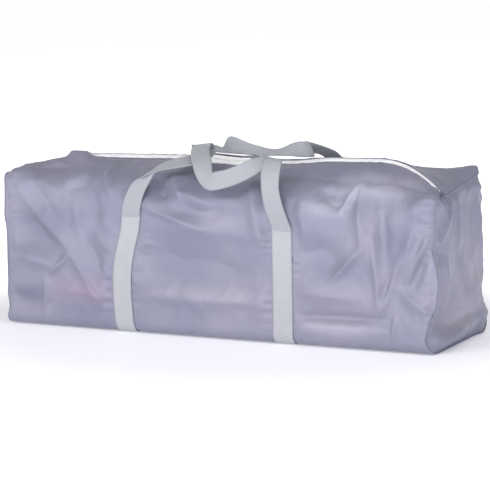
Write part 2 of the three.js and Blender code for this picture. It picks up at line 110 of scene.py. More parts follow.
def make_studio():
    make_camera()
    bpy.context.scene.view_settings.view_transform = "Standard"
    make_sky()
    make_softbox("key_softbox", (-0.8, -2.2, 1.9), (0.05, 0, 0.15), (1.3, 1.1), 25)
    make_softbox("top_softbox", (1.2, -0.8, 2.3), (0.2, 0, 0.2), (1.6, 1.2), 18)
    make_softbox("front_softbox", (0.5, -2.6, 0.40), (0.1, 0, 0.06), (2.4, 0.6), 23)
    floor = mesh_object("floor", [(-9, -5, 0), (9, -5, 0), (9, 22, 0), (-9, 22, 0)], [(0, 1, 2, 3)])
    floor.data.transform(Matrix.Translation((0, 0, -0.0004)))
    floor.data.materials.append(floor_paint())


# ---------------------------------------------------------------- mesh helpers

def mesh_object(name, points, faces):
    mesh = bpy.data.meshes.new(name)
    mesh.from_pydata([tuple(p) for p in points], [], [tuple(f) for f in faces])
    mesh.update()
    obj = bpy.data.objects.new(name, mesh)
    bpy.context.scene.collection.objects.link(obj)
    return obj


def grid_faces(rows, columns, first=0, flip=False):
    faces = []
    for r in range(rows - 1):
        for c in range(columns - 1):
            a = first + r * columns + c
            quad = (a, a + 1, a + columns + 1, a + columns)
            faces.append(quad[::-1] if flip else quad)
    return faces


def tube_faces(rings, sides):
    """Faces of a closed tube, with a cap on each end."""
    faces = []
    for r in range(rings - 1):
        for c in range(sides):
            a, b = r * sides + c, r * sides + (c + 1) % sides
            faces.append((a, b, b + sides, a + sides))
    faces.append(tuple(range(sides))[::-1])
    faces.append(tuple(range((rings - 1) * sides, rings * sides)))
    return faces


def set_uv(obj, uv):
    """uv holds one (u, v) for each vertex, in metres along the cloth."""
    layer = obj.data.uv_layers.new(name="cloth")
    loops = np.zeros(len(obj.data.loops), np.int32)
    obj.data.loops.foreach_get("vertex_index", loops)
    layer.data.foreach_set("uv", np.asarray(uv, np.float32)[loops].ravel())


def grid_object(name, points, uv=None, flip=False):
    """A sheet through a (rows, columns, 3) array of points."""
    rows, columns = points.shape[:2]
    obj = mesh_object(name, points.reshape(-1, 3), grid_faces(rows, columns, flip=flip))
    if uv is not None:
        set_uv(obj, uv.reshape(-1, 2))
    smooth(obj)
    return obj


def smooth(obj):
    obj.data.polygons.foreach_set("use_smooth", [True] * len(obj.data.polygons))
    obj.data.update()


def ramp(value, start, stop):
    t = np.clip((value - start) / (stop - start), 0, 1)
    return t * t * (3 - 2 * t)


def noise_at(points, scale, seed):
    shift = Vector((seed * 7.3, seed * 3.1, seed * 5.7))
    return np.array([noise.noise(Vector(p) * scale + shift) for p in points])


# ---------------------------------------------------------------- materials

def linear(hex_colour):
    channels = [int(hex_colour[i:i + 2], 16) / 255 for i in (1, 3, 5)]
    return [c / 12.92 if c <= 0.04045 else ((c + 0.055) / 1.055) ** 2.4 for c in channels] + [1.0]


def node(tree, kind, links=(), **settings):
    """Adds a node. settings are its properties or its sockets; links are (socket, output) pairs."""
    made = tree.nodes.new(kind)
    for key, value in settings.items():
        if hasattr(made, key):
            setattr(made, key, value)
        else:
            made.inputs[key.replace("_", " ")].default_value = value
    for socket, output in links:
        tree.links.new(output, made.inputs[socket])
    return made


def new_material(name, colour, roughness, **sockets):
    material = bpy.data.materials.new(name)
    material.use_nodes = True
    shader = material.node_tree.nodes["Principled BSDF"]
    shader.inputs["Base Color"].default_value = linear(colour)
    shader.inputs["Roughness"].default_value = roughness
    for key, value in sockets.items():
        shader.inputs[key.replace("_", " ")].default_value = value
    return material, material.node_tree, shader


def band_scale(period):
    """The Wave Texture's scale for bands that far apart, in metres."""
    return math.pi / 10 / period


def blend_colours(tree, factor, first, second):
    mix = node(tree, "ShaderNodeMix", data_type="RGBA")
    tree.links.new(factor, mix.inputs[0])
    for socket, colour in ((6, first), (7, second)):
        if isinstance(colour, str):
            mix.inputs[socket].default_value = linear(colour)
        else:
            tree.links.new(colour, mix.inputs[socket])
    return mix.outputs[2]


def floor_paint():
    """Matt white studio board with a painted glow: it gives off light, brightening away from the object, as a lit
    sweep does.
    """
    material, tree, shader = new_material("white_board_with_painted_glow", "#f4f4fb", 0.55, Specular_IOR_Level=0.3)
    place = node(tree, "ShaderNodeTexCoord").outputs["Object"]
    distance = node(tree, "ShaderNodeVectorMath", [(0, place)], operation="LENGTH").outputs[1]
    glow = node(tree, "ShaderNodeMapRange", [(0, distance)], interpolation_type="SMOOTHSTEP",
                From_Min=0.36, From_Max=1.1, To_Min=0.22, To_Max=1.0)
    shader.inputs["Emission Color"].default_value = (1, 1, 1, 1)
    tree.links.new(glow.outputs[0], shader.inputs["Emission Strength"])
    return material


# Soft patches of tone on the cloth: centre, reach each way, strength, colour. The first is the pink
# mattress print showing through. The others are painted light and painted shade, for the light and
# shade that the folds leave out.
PRINT_AND_PAINTED_LIGHT_PATCHES = [
    ((-0.235, -0.128, 0.067), (0.090, 0.17, 0.040), 0.34, "#b093aa"),
    ((-0.004, -0.128, 0.076), (0.130, 0.17, 0.024), 0.50, "#a9a4b0"),
    ((0.237, -0.128, 0.033), (0.110, 0.17, 0.016), 0.60, "#aeacba"),
    ((0.000, -0.128, 0.200), (0.080, 0.17, 0.022), 0.45, "#a6a3b2"),
    ((0.260, -0.110, 0.262), (0.110, 0.17, 0.030), 0.70, "#b9b8cb"),
    ((0.205, -0.124, 0.230), (0.055, 0.17, 0.024), 0.60, "#b2b1c1"),
    ((-0.304, -0.128, 0.182), (0.090, 0.17, 0.046), 0.60, "#707389"),
    ((-0.345, -0.128, 0.056), (0.060, 0.17, 0.026), 0.65, "#6f7288"),
    ((0.225, -0.128, 0.125), (0.090, 0.17, 0.032), 0.45, "#74778d"),
    ((0.325, -0.128, 0.180), (0.055, 0.17, 0.050), 0.60, "#74778d"),
    ((-0.110, -0.122, 0.238), (0.070, 0.17, 0.022), 0.60, "#676a7f"),
    ((0.396, 0.020, 0.200), (0.040, 0.15, 0.080), 0.45, "#74778d"),
    ((0.396, 0.030, 0.050), (0.040, 0.15, 0.034), 0.55, "#b0aebe"),
]


def add_print_and_painted_light(tree, place, blotch, tone):
    """Tints the cloth over each patch, with an uneven edge: the print showing through, and painted light and
    painted shade.
    """
    for middle, reach, strength, colour in PRINT_AND_PAINTED_LIGHT_PATCHES:
        centred = node(tree, "ShaderNodeVectorMath", [(0, place)], operation="SUBTRACT")
        centred.inputs[1].default_value = middle
        scaled = node(tree, "ShaderNodeVectorMath", [(0, centred.outputs[0])], operation="DIVIDE")
        scaled.inputs[1].default_value = reach
        distance = node(tree, "ShaderNodeVectorMath", [(0, scaled.outputs[0])], operation="LENGTH")
        uneven = node(tree, "ShaderNodeMath", [(0, distance.outputs[1]), (1, blotch)], operation="ADD")
        mask = node(tree, "ShaderNodeMapRange", [(0, uneven.outputs[0])], interpolation_type="SMOOTHSTEP",
                    From_Min=0.60, From_Max=1.50, To_Min=strength, To_Max=0.0)
        tone = blend_colours(tree, mask.outputs[0], tone, colour)
    return tone


def taffeta():
    """Plain-woven polyester taffeta, calendered: thin and crisp, with a soft broad satin sheen."""
    material, tree, shader = new_material(
        "lavender_polyester_taffeta", "#8a899c", 0.56, Metallic=0.3, Sheen_Weight=0.15,
        Sheen_Roughness=0.4, Specular_IOR_Level=0.5)
    place = node(tree, "ShaderNodeTexCoord").outputs["Object"]
    cloudy = node(tree, "ShaderNodeTexNoise", [("Vector", place)], Scale=6.0, Detail=3.0)
    spread = node(tree, "ShaderNodeMapRange", [(0, cloudy.outputs[0])], From_Min=0.32, From_Max=0.68)
    tone = blend_colours(tree, spread.outputs[0], "#818398", "#9290a2")
    blotch = node(tree, "ShaderNodeTexNoise", [("Vector", place)], Scale=18.0, Detail=3.0)
    # Over the tone go the print showing through and patches of painted light and painted shade.
    tone = add_print_and_painted_light(tree, place, blotch.outputs[0], tone)
    tree.links.new(tone, shader.inputs["Base Color"])
    # Threads are 0.25 mm apart on the real cloth; they are drawn at 1 mm so that they show.
    threads = []
    for direction in ("X", "Z"):
        wave = node(tree, "ShaderNodeTexWave", [("Vector", place)], bands_direction=direction,
                    Scale=band_scale(0.001), Distortion=0.4)
        threads.append(wave.outputs[1])
    weave = node(tree, "ShaderNodeMath", [(0, threads[0]), (1, threads[1])], operation="ADD")
    crinkle = node(tree, "ShaderNodeTexNoise", [("Vector", place)], Scale=55.0, Detail=4.0, Roughness=0.6)
    fine = node(tree, "ShaderNodeBump", [("Height", weave.outputs[0])], Strength=0.05, Distance=0.0003)
    bump = node(tree, "ShaderNodeBump", [("Height", crinkle.outputs[0]), ("Normal", fine.outputs[0])],
                Strength=0.25, Distance=0.0012)
    tree.links.new(bump.outputs[0], shader.inputs["Normal"])
    return material


def webbing_weave(name, base, dull, bright, groove_shade):
    """Ribbed polypropylene webbing: matt, with close cross ribs and a firm selvedge on each side."""
    material, tree, shader = new_material(name, base, 0.7, Sheen_Weight=0.2)
    uv = node(tree, "ShaderNodeUVMap", uv_map="cloth").outputs[0]
    # Ribs are 1.1 mm apart on the real webbing; they are drawn at 2.6 mm so that they show.
    ribs = node(tree, "ShaderNodeTexWave", [("Vector", uv)], bands_direction="Y",
                Scale=band_scale(0.0026), Distortion=0.6)
    warps = node(tree, "ShaderNodeTexWave", [("Vector", uv)], bands_direction="X",
                 Scale=band_scale(0.0035), Distortion=0.3)
    speckle = node(tree, "ShaderNodeTexNoise", [("Vector", uv)], Scale=420.0, Detail=3.0)
    cloudy = node(tree, "ShaderNodeTexNoise", [("Vector", uv)], Scale=25.0, Detail=2.0)
    tone = blend_colours(tree, cloudy.outputs[0], dull, bright)
    # Darker in the grooves between the ribs: painted shade, broken up by a fine speckle.
    shade = blend_colours(tree, ribs.outputs[1], groove_shade, tone)
    groove_shade_speckle = node(tree, "ShaderNodeMath", [(0, speckle.outputs[0])], operation="MULTIPLY")
    groove_shade_speckle.inputs[1].default_value = 0.5
    tone = blend_colours(tree, groove_shade_speckle.outputs[0], shade, tone)
    tree.links.new(tone, shader.inputs["Base Color"])
    relief = node(tree, "ShaderNodeMath", [(0, ribs.outputs[1]), (1, warps.outputs[1])], operation="ADD")
    bump = node(tree, "ShaderNodeBump", [("Height", relief.outputs[0])], Strength=0.5, Distance=0.0004)
    tree.links.new(bump.outputs[0], shader.inputs["Normal"])
    return material


def zip_tape_weave():
    """Woven polyester zip tape: bright white, matt, with fine lengthwise ribs."""
    material, tree, shader = new_material("white_zip_tape", "#fbfbfc", 0.8)
    uv = node(tree, "ShaderNodeUVMap", uv_map="cloth").outputs[0]
    ribs = node(tree, "ShaderNodeTexWave", [("Vector", uv)], bands_direction="X",
                Scale=band_scale(0.0016))
    # Greyer between the ribs and white on them: painted shade in the grooves.
    tone = blend_colours(tree, ribs.outputs[1], "#f0eff3", "#ffffff")
    tree.links.new(tone, shader.inputs["Base Color"])
    bump = node(tree, "ShaderNodeBump", [("Height", ribs.outputs[1])], Strength=0.4, Distance=0.0003)
    tree.links.new(bump.outputs[0], shader.inputs["Normal"])
    return material


def speckled(name, first, second, roughness, scale, depth, **sockets):
    """A plain surface with a fine grain in its colour and its relief."""
    material, tree, shader = new_material(name, first, roughness, **sockets)
    place = node(tree, "ShaderNodeTexCoord").outputs["Object"]
    grain = node(tree, "ShaderNodeTexNoise", [("Vector", place)], Scale=scale, Detail=4.0)
    tone = blend_colours(tree, grain.outputs[0], first, second)
    tree.links.new(tone, shader.inputs["Base Color"])
    bump = node(tree, "ShaderNodeBump", [("Height", grain.outputs[0])], Strength=0.4, Distance=depth)
    tree.links.new(bump.outputs[0], shader.inputs["Normal"])
    return material


def printed_cotton():
    """Printed cotton drill on the mattress: pink with soft pale dots, matt."""
    material, tree, shader = new_material("pink_printed_cotton", "#c99bab", 0.85, Sheen_Weight=0.3)
    place = node(tree, "ShaderNodeTexCoord").outputs["Object"]
    dots = node(tree, "ShaderNodeTexVoronoi", [("Vector", place)], Scale=28.0, Randomness=0.15)
    mask = node(tree, "ShaderNodeMapRange", [(0, dots.outputs[0])],
                From_Min=0.22, From_Max=0.27, To_Min=1.0, To_Max=0.0)
    tone = blend_colours(tree, mask.outputs[0], "#c795a8", "#eadfe2")
    tree.links.new(tone, shader.inputs["Base Color"])
    return material


class Finish:
    """Every finish on the object, made once."""

    def __init__(self):
        self.taffeta = taffeta()
        # The last colour of each webbing is painted shade, for the grooves between its ribs.
        self.webbing = webbing_weave("pale_grey_webbing", "#b2b3b9", "#a6a7ad", "#babbc0", "#a2a3aa")
        # The same webbing, drawn a little greyer on the loose handles than on the sewn bands: painted shade.
        self.handle_shade_webbing = webbing_weave("painted_shade_handle_webbing", "#a2a5ac", "#969aa1", "#abadb3", "#92959d")
        self.tape = zip_tape_weave()
        # Nylon monofilament coil: white, slightly glossy.
        self.coil = speckled("white_nylon_coil", "#ffffff", "#f2f2f5", 0.35, 300.0, 0.0001)
        # Polyester sewing thread, a little paler than the cloth that it holds.
        self.thread = speckled("lavender_thread", "#a9a8bb", "#8f8fa6", 0.6, 900.0, 0.0001)
        self.pale_thread = speckled("pale_thread", "#d8d8df", "#bdbdc8", 0.6, 900.0, 0.0001)
        # Die-cast zinc under pale enamel: smooth, with soft highlights.
        self.enamel = speckled("pale_enamelled_zinc", "#d6d6dc", "#c9c9d2", 0.3, 120.0, 0.00005,
                               Coat_Weight=0.4)
        self.mattress = printed_cotton()
        # Looped nylon tape: dark, matt and fuzzy.
        self.strap = speckled("hook_and_loop_strap", "#45454d", "#5b5b64", 0.95, 700.0, 0.0006)
        # Steel tube with a baked powder coat: satin with a slight orange peel.
        self.tube = speckled("powder_coated_steel_tube", "#b5b8bf", "#a9acb4", 0.42, 500.0, 0.0002)
        # Injection-moulded polypropylene: even, with a fine matt grain.
        self.plastic = speckled("moulded_dark_polypropylene", "#54555d", "#484951", 0.55, 600.0, 0.0002)
        # Knitted mesh edged with cloth, folded up: matt, too close to see through.
        self.wall = speckled("playpen_mesh_and_cloth", "#8b8a9c", "#6f6f80", 0.9, 500.0, 0.0006)
        # The cloth's taffeta, a little darker: the zip's end tab, and the thin tubes along the end seams, which
        # are painted shade in the seam creases.
        self.tab_cloth_and_seam_shade = speckled("end_tab_cloth_and_painted_seam_shade", "#84849a", "#7a7a90", 0.7, 400.0, 0.0004)


# ---------------------------------------------------------------- the bag's surface

HALF_LENGTH = 0.390
HALF_DEPTH = 0.124
WALL_BULGE = 0.003
BASE_Z = 0.0018
BASE_RADIUS = 0.018
TOP_RADIUS = 0.060      # mid length; the corners at the ends are tighter
END_RADIUS = 0.018
ZIP_FROM, ZIP_TO = -0.325, 0.250
ZIP_LOW, ZIP_HIGH = 0.288, 0.297
ZIP_LEFT_END, ZIP_RIGHT_END = 0.257, 0.252
ZIP_RIGHT_SHIFT = -0.080
ZIP_SAG = 0.006         # the slack zip dips under the handles
ZIP_TILT = 0.49
TAPE_EDGE = 0.015
ZIP_SLOPE = (ZIP_HIGH - ZIP_LOW) / (ZIP_TO - ZIP_FROM)


def window(x, start, rise, fall, stop):
    """0 outside start to stop, 1 between rise and fall."""
    return ramp(x, start, rise) * (1 - ramp(x, fall, stop))


def zip_y(x):
    stop = HALF_LENGTH + 0.04
    return ZIP_RIGHT_SHIFT * ramp(x, ZIP_TO, stop) / ramp(HALF_LENGTH, ZIP_TO, stop)


def zip_z(x):
    line = ZIP_LOW + ZIP_SLOPE * (np.clip(x, ZIP_FROM, ZIP_TO) - ZIP_FROM)
    past_left = (ZIP_FROM - np.minimum(x, ZIP_FROM)) / (HALF_LENGTH + ZIP_FROM)
    past_right = (np.maximum(x, ZIP_TO) - ZIP_TO) / (HALF_LENGTH - ZIP_TO)
    left = (ZIP_LOW - ZIP_LEFT_END) * past_left ** 1.25
    right = (ZIP_HIGH - ZIP_RIGHT_END) * past_right ** 2
    return line - left - right - ZIP_SAG * window(x, -0.09, 0.0, 0.09, 0.17)


def on_zip(x, across, out=0.0):
    """A point on the zip's face. Its rear margin bends level behind the teeth."""
    bend = 1 - 0.75 * window(x, -0.11, -0.05, 0.0, 0.06)
    straight = min(across, 0.0045)
    rest = across - straight
    tilt = ZIP_TILT * (1 - bend) - 0.20 * bend
    c, s = math.cos(ZIP_TILT), math.sin(ZIP_TILT)
    y = straight * c + rest * math.cos(tilt)
    z = straight * s + rest * math.sin(tilt)
    return np.array([x, zip_y(x) + y - out * s, zip_z(x) + z + out * c])


def edge_z(x, side):
    u = (x + HALF_LENGTH) / (2 * HALF_LENGTH)
    crown = 0.009 * (1 - (2 * u - 1) ** 2)
    if side < 0:
        return 0.263 - 0.013 * u + 1.4 * crown
    dip = 0.012 * window(x, -0.36, -0.31, -0.12, 0.02)
    return 0.277 - 0.002 * u + 0.6 * crown - dip + 0.007 * window(x, 0.04, 0.13, 0.20, 0.30)


def half_depth(x):
    return HALF_DEPTH + WALL_BULGE * (1 - (x / HALF_LENGTH) ** 2)


def half_section(x, side, flap_edge):
    """One half of the cross-section at x, from the cloth's edge at the zip to the middle of the base."""
    depth = half_depth(x)
    shoulder = edge_z(x, side) + 0.002
    end = ramp(abs(x), HALF_LENGTH - 0.10, HALF_LENGTH)
    radius = TOP_RADIUS + (END_RADIUS - TOP_RADIUS) * end
    hem = [on_zip(x, side * (flap_edge + 0.006), 0.0001), on_zip(x, side * (flap_edge + 0.001), 0.0002),
           on_zip(x, side * flap_edge, 0.0012)]
    points = [p[1:] for p in hem]
    start = on_zip(x, side * (TAPE_EDGE + 0.002), 0.0022)[1:]
    goal = np.array([side * (depth - radius), shoulder])
    puff = 0.001 if side > 0 else 0.004 + 0.008 * window(x, -0.398, -0.376, -0.33, -0.24)
    puff *= 1 - ramp(abs(x), HALF_LENGTH - 0.02, HALF_LENGTH)
    lead = on_zip(x, side * (flap_edge + TAPE_EDGE) / 2, 0.0022)[1:]
    points.append(lead)
    for i in range(14):
        t = i / 14
        points.append(start + (goal - start) * t + np.array([0, puff * math.sin(math.pi * t ** 0.8)]))
    for i in range(15):
        angle = i / 14 * math.pi / 2
        points.append(np.array([side * (depth - radius * (1 - math.sin(angle))),
                                shoulder - radius * (1 - math.cos(angle))]))
    low = BASE_Z + BASE_RADIUS
    for i in range(1, 10):
        points.append(np.array([side * depth, shoulder - radius + (low - shoulder + radius) * i / 10]))
    for i in range(9):
        angle = i / 8 * math.pi / 2
        points.append(np.array([side * (depth - BASE_RADIUS * (1 - math.cos(angle))),
                                BASE_Z + BASE_RADIUS * (1 - math.sin(angle))]))
    points.append(np.array([0.0, BASE_Z]))
    return np.array(points)


def spaced(points, count):
    """The polyline again, with evenly spaced points."""
    steps = np.linalg.norm(np.diff(points, axis=0), axis=1)
    along = np.concatenate([[0], np.cumsum(steps)])
    at = np.linspace(0, along[-1], count)
    return np.stack([np.interp(at, along, points[:, k]) for k in range(points.shape[1])], axis=1), along[-1]


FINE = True
WRAP_ROWS = 166 if FINE else 120       # points down each half of the wrap
WRAP_STATIONS = 260 if FINE else 184


def flap_edge_at(x):
    """How far the cloth's edge is from the middle of the zip: it gapes mid length and shuts at the ends."""
    gap = 0.0066 + 0.0095 * window(x, -0.14, -0.03, 0.0, 0.10) + 0.0012 * ramp(-x, 0.1, 0.2)
    gap -= 0.0030 * ramp(x, 0.245, 0.330)
    return gap - (gap - 0.0003) * ramp(abs(x), 0.362, 0.381)


def wrap_grid():
    """The body panel before it is crumpled: rows run from the front zip edge to the rear one."""
    stations = np.linspace(-HALF_LENGTH, HALF_LENGTH, WRAP_STATIONS)
    columns = []
    length = 0
    for x in stations:
        halves = [spaced(half_section(x, side, flap_edge_at(x)), WRAP_ROWS) for side in (-1, 1)]
        length = halves[0][1] + halves[1][1]
        outline = np.concatenate([halves[0][0], halves[1][0][::-1][1:]])
        columns.append(np.column_stack([np.full(len(outline), x), outline]))
    points = np.stack(columns, axis=1)
    x, y = points[..., 0], points[..., 1]
    over_slider = window(x, -0.326, -0.313, -0.293, -0.268) * window(y, -0.055, -0.024, -0.017, -0.0055)
    points[..., 2] += 0.0105 * over_slider * (points[..., 2] > 0.2)
    v = np.linspace(0, length, points.shape[0])
    uv = np.stack(np.meshgrid(stations + HALF_LENGTH, v), axis=-1)
    return points, uv, length


def outward_normals(points):
    along = np.gradient(points, axis=1)
    down = np.gradient(points, axis=0)
    normal = np.cross(down, along)
    return normal / np.maximum(np.linalg.norm(normal, axis=-1, keepdims=True), 1e-9)


def stroke(flat, start, stop, width, height, skew=0.0, crisp=0.35):
    """A fold from start to stop on a flattened wall, width and height in millimetres. skew makes
    the flank on its left steeper, or on its right if it is negative; crisp sharpens its crest."""
    a, b = np.array(start) * MM, np.array(stop) * MM
    line = b - a
    length = np.linalg.norm(line)
    rel = flat - a
    t = np.clip(rel @ line / length ** 2, 0, 1)
    distance = np.linalg.norm(rel - t[..., None] * line, axis=-1)
    left_of = (rel[..., 1] * line[0] - rel[..., 0] * line[1]) / length
    reach = np.where(left_of * skew > 0, 1 - 0.65 * abs(skew), 1.0) * width * MM
    d = distance / reach
    rounded = np.exp(-d ** 2)
    pointed = np.exp(-1.6 * (np.sqrt(d ** 2 + 0.01) - 0.1))
    taper = np.clip(np.sin(np.pi * (0.05 + 0.9 * t)), 0, 1) ** 0.6
    return height * MM * (rounded * (1 - crisp) + pointed * crisp) * taper


# Folds on the front wall: (x, z) of both ends, width, height, skew, crispness.
FRONT_FOLDS = [
    ((-374, 247), (-246, 116), 24, 10.0, -0.7, 0.5),
    ((-352, 265), (-276, 179), 14, 3.5, 0.3, 0.6),
    ((-375, 179), (-262, 135), 26, -6.0, 0.2, 0.1),
    ((-389, 129), (-290, 107), 20, 8.0, -0.4, 0.3),
    ((-390, 53), (-335, 43), 18, -5.0, 0.2, 0.1),
    ((-314, 91), (-314, 15), 7, 3.0, 0.3, 0.6),
    ((-261, 131), (-300, 95), 9, 4.5, 0.5, 0.6),
    ((-261, 131), (-204, 47), 11, 5.0, 0.5, 0.6),
    ((-235, 157), (-196, 103), 10, -4.0, 0.1, 0.2),
    ((-225, 291), (-184, 229), 10, 5.0, -0.5, 0.6),
    ((-285, 243), (-221, 212), 24, -6.0, 0.1, 0.1),
    ((-250, 269), (-205, 185), 13, -4.5, 0.2, 0.2),
    ((-292, 67), (-192, 61), 17, 5.0, -0.4, 0.3),
    ((-212, 167), (-184, 133), 7, 4.0, 0.5, 0.7),
    ((-222, 203), (-180, 175), 9, 3.5, 0.4, 0.5),
    ((-205, 117), (-182, 91), 6, 3.0, 0.5, 0.6),
    ((-82, 269), (-56, 229), 8, 4.5, -0.4, 0.7),
    ((-110, 263), (-84, 229), 12, -4.5, 0.2, 0.2),
    ((-64, 243), (-5, 226), 12, 5.0, -0.3, 0.4),
    ((-132, 217), (-8, 185), 15, 6.5, -0.6, 0.6),
    ((-60, 211), (30, 211), 14, -3.5, 0.1, 0.2),
    ((-111, 185), (90, 179), 24, 6.0, -0.3, 0.2),
    ((-125, 119), (85, 107), 34, -7.5, 0.1, 0.0),
    ((-142, 69), (112, 67), 24, 6.5, -0.3, 0.3),
    ((-140, 159), (-104, 153), 6, 2.5, 0.4, 0.6),
    ((-142, 135), (-112, 133), 5, -2.0, 0.2, 0.5),
    ((62, 269), (104, 157), 14, 5.0, -0.3, 0.4),
    ((160, 243), (176, 157), 13, 4.0, 0.2, 0.3),
    ((193, 253), (235, 233), 14, -8.0, 0.2, 0.3),
    ((228, 221), (257, 265), 11, 6.0, -0.5, 0.7),
    ((257, 265), (334, 251), 14, 6.0, 0.3, 0.4),
    ((257, 263), (271, 165), 13, 6.0, -0.4, 0.6),
    ((271, 167), (212, 105), 12, 5.0, 0.5, 0.6),
    ((162, 165), (240, 131), 26, -7.0, 0.1, 0.1),
    ((300, 229), (306, 159), 14, -6.5, 0.2, 0.2),
    ((287, 187), (300, 63), 10, 4.5, -0.4, 0.6),
    ((334, 152), (304, 71), 11, 5.0, 0.4, 0.6),
    ((318, 127), (302, 77), 8, -4.0, 0.1, 0.3),
    ((386, 199), (346, 117), 10, 6.0, 0.5, 0.7),
    ((376, 165), (352, 103), 9, -4.5, 0.1, 0.3),
    ((360, 213), (336, 135), 13, 5.0, 0.3, 0.4),
    ((346, 239), (372, 221), 16, 4.0, 0.2, 0.3),
    ((152, 91), (252, 83), 18, 5.5, -0.3, 0.3),
    ((150, 49), (312, 53), 9, -4.5, 0.0, 0.5),
    ((152, 35), (322, 35), 11, 3.0, 0.2, 0.2),
    ((324, 57), (325, 15), 6, 3.0, -0.6, 0.7),
    ((330, 103), (384, 67), 12, 4.0, 0.4, 0.5),
]

# Folds on the end panels: (y, z) of both ends, as above.
END_FOLDS = [
    ((-118, 16), (118, 40), 17, 13.0, 0.3, 0.15),
    ((-112, 48), (86, 46), 14, -6.5, 0.1, 0.1),
    ((40, 84), (116, 104), 18, 6.0, -0.3, 0.15),
    ((-40, 156), (20, 78), 22, -7.0, 0.2, 0.1),
    ((-49, 245), (-112, 168), 9, 5.5, -0.4, 0.3),
    ((-100, 230), (-106, 90), 12, -5.0, 0.1, 0.15),
    ((-84, 150), (-92, 66), 12, 5.0, 0.3, 0.2),
    ((0, 248), (50, 140), 28, -7.0, 0.1, 0.0),
    ((70, 240), (104, 120), 14, 5.5, -0.3, 0.15),
    ((-20, 252), (-30, 160), 13, 5.0, 0.3, 0.2),
    ((56, 274), (112, 224), 11, 5.0, -0.4, 0.25),
]

WEBBING = 0.035
BAND_TOPS = {"left": 0.206, "right": 0.194}
ROW_PITCH = 0.0031      # between rows of the wrap, about, measured down the cloth
DEEPEST_DENT = 0.0068   # limits how far the cloth may sink towards the boards inside
PUCKER_PITCH = 0.015    # between the gathers along the end seams
PUCKER_REACH = 0.017
PUCKER_HEIGHT = 0.0019
STITCH_LIFT = 0.0022    # from the cloth to the middle of a stitch
STITCH_INSET = 0.0150   # from the middle of a band to its stitches


def band_x(band, z):
    """Where the middle of a sewn band is at height z: the left one bows outwards, as sewn by eye."""
    if band == "left":
        return -0.158 + 0.012 * ramp(z, 0.09, 0.206) - 0.0065 * np.sin(np.pi * np.clip(z / 0.17, 0, 1))
    return 0.133 - 0.003 * ramp(z, 0.02, 0.194)


def beside_bands(points):
    """0 under a sewn band, rising to 1 a little way from it."""
    hold = np.ones(points.shape[:-1])
    z = points[..., 2]
    for band, top in BAND_TOPS.items():
        distance = np.abs(points[..., 0] - band_x(band, z)) - WEBBING / 2
        on = ramp(distance, -0.002, 0.022) + ramp(z, top + 0.002, top + 0.03)
        hold = np.minimum(hold, np.clip(on, 0, 1))
    return hold


def wander(along, pitch, seed):
    values = [noise.noise(Vector((a / pitch, seed * 3.7, 0.5))) for a in along.ravel()]
    return np.array(values).reshape(along.shape)


def pucker(distance, along, pitch, reach, height, seed):
    """Small gathers square to a seam, strongest at the seam."""
    drift = wander(along, pitch * 2.7, seed)
    phase = 2 * np.pi * along / pitch + 4.5 * drift
    fade = np.exp(-(np.maximum(distance, 0) / reach) ** 1.5)
    return height * (np.abs(np.sin(phase / 2)) * 2 - 1) * (0.6 + drift) * fade


def crumple(flat_points, seed, scale):
    """Crisp, irregular creases with slack facets between them, from 0 to 1."""
    total = np.zeros(len(flat_points))
    warped = flat_points + 0.35 / scale * np.stack(
        [noise_at(flat_points, scale * 0.8, seed + k) for k in range(3)], axis=1)
    for octave, weight in ((1.0, 0.6), (2.1, 0.3), (4.3, 0.14)):
        total += weight * (1 - np.sqrt(noise_at(warped, scale * octave, seed + 5 + octave) ** 2 * 4 + 0.004))
    return total


CORNERS = [((-0.390, -0.124, 0.263), 0.005), ((0.390, -0.124, 0.250), 0.005),
           ((-0.386, 0.124, 0.281), 0.011), ((0.390, 0.124, 0.277), 0.009),
           ((-0.390, -0.124, 0.006), 0.003), ((0.390, -0.124, 0.006), 0.003),
           ((-0.390, 0.124, 0.006), 0.003), ((0.390, 0.124, 0.006), 0.003)]


def pull_corners(points):
    """The sewn corners stand out as small ears."""
    out = points.copy()
    for corner, height in CORNERS:
        corner = np.array(corner)
        heading = np.sign(corner) * np.array([0.45, 0.35, 0.75])
        if corner[2] < 0.1:
            heading = np.sign(corner) * np.array([0.7, 0.5, 0.0])
        distance = np.linalg.norm(points - corner, axis=-1)
        out += (height * np.exp(-(distance / 0.026) ** 2))[..., None] * heading
    return out


def seam_wander(points):
    """The end seams don't run straight: they lean in and out as the cloth pulls them."""
    x, y, z = points[..., 0], points[..., 1], points[..., 2]
    near = ramp(np.abs(x), HALF_LENGTH - 0.05, HALF_LENGTH) * ramp(np.abs(y), 0.09, 0.12)
    left_path = np.interp(z, [0.0, 0.028, 0.05, 0.076, 0.112, 0.143, 0.167, 0.187, 0.217, 0.247],
                          [0.001, -0.004, 0.003, 0.002, 0.003, 0.003, 0.004, 0.008, 0.007, 0.005])
    right_path = np.interp(z, [0.0, 0.024, 0.05, 0.077, 0.112, 0.143, 0.167, 0.187, 0.217, 0.247],
                           [-0.004, -0.015, -0.008, 0.002, 0.006, 0.001, -0.006, -0.001, -0.003, -0.002])
    rear_path = np.interp(z, [0.0, 0.025, 0.06, 0.09, 0.13, 0.17, 0.20, 0.23, 0.27],
                          [0.005, 0.007, 0.002, -0.002, 0.0, -0.002, -0.008, -0.012, -0.017])
    path = np.where(y > 0, rear_path, np.where(x < 0, left_path, right_path))
    out = points.copy()
    out[..., 0] += near * path * np.sign(x)
    return out


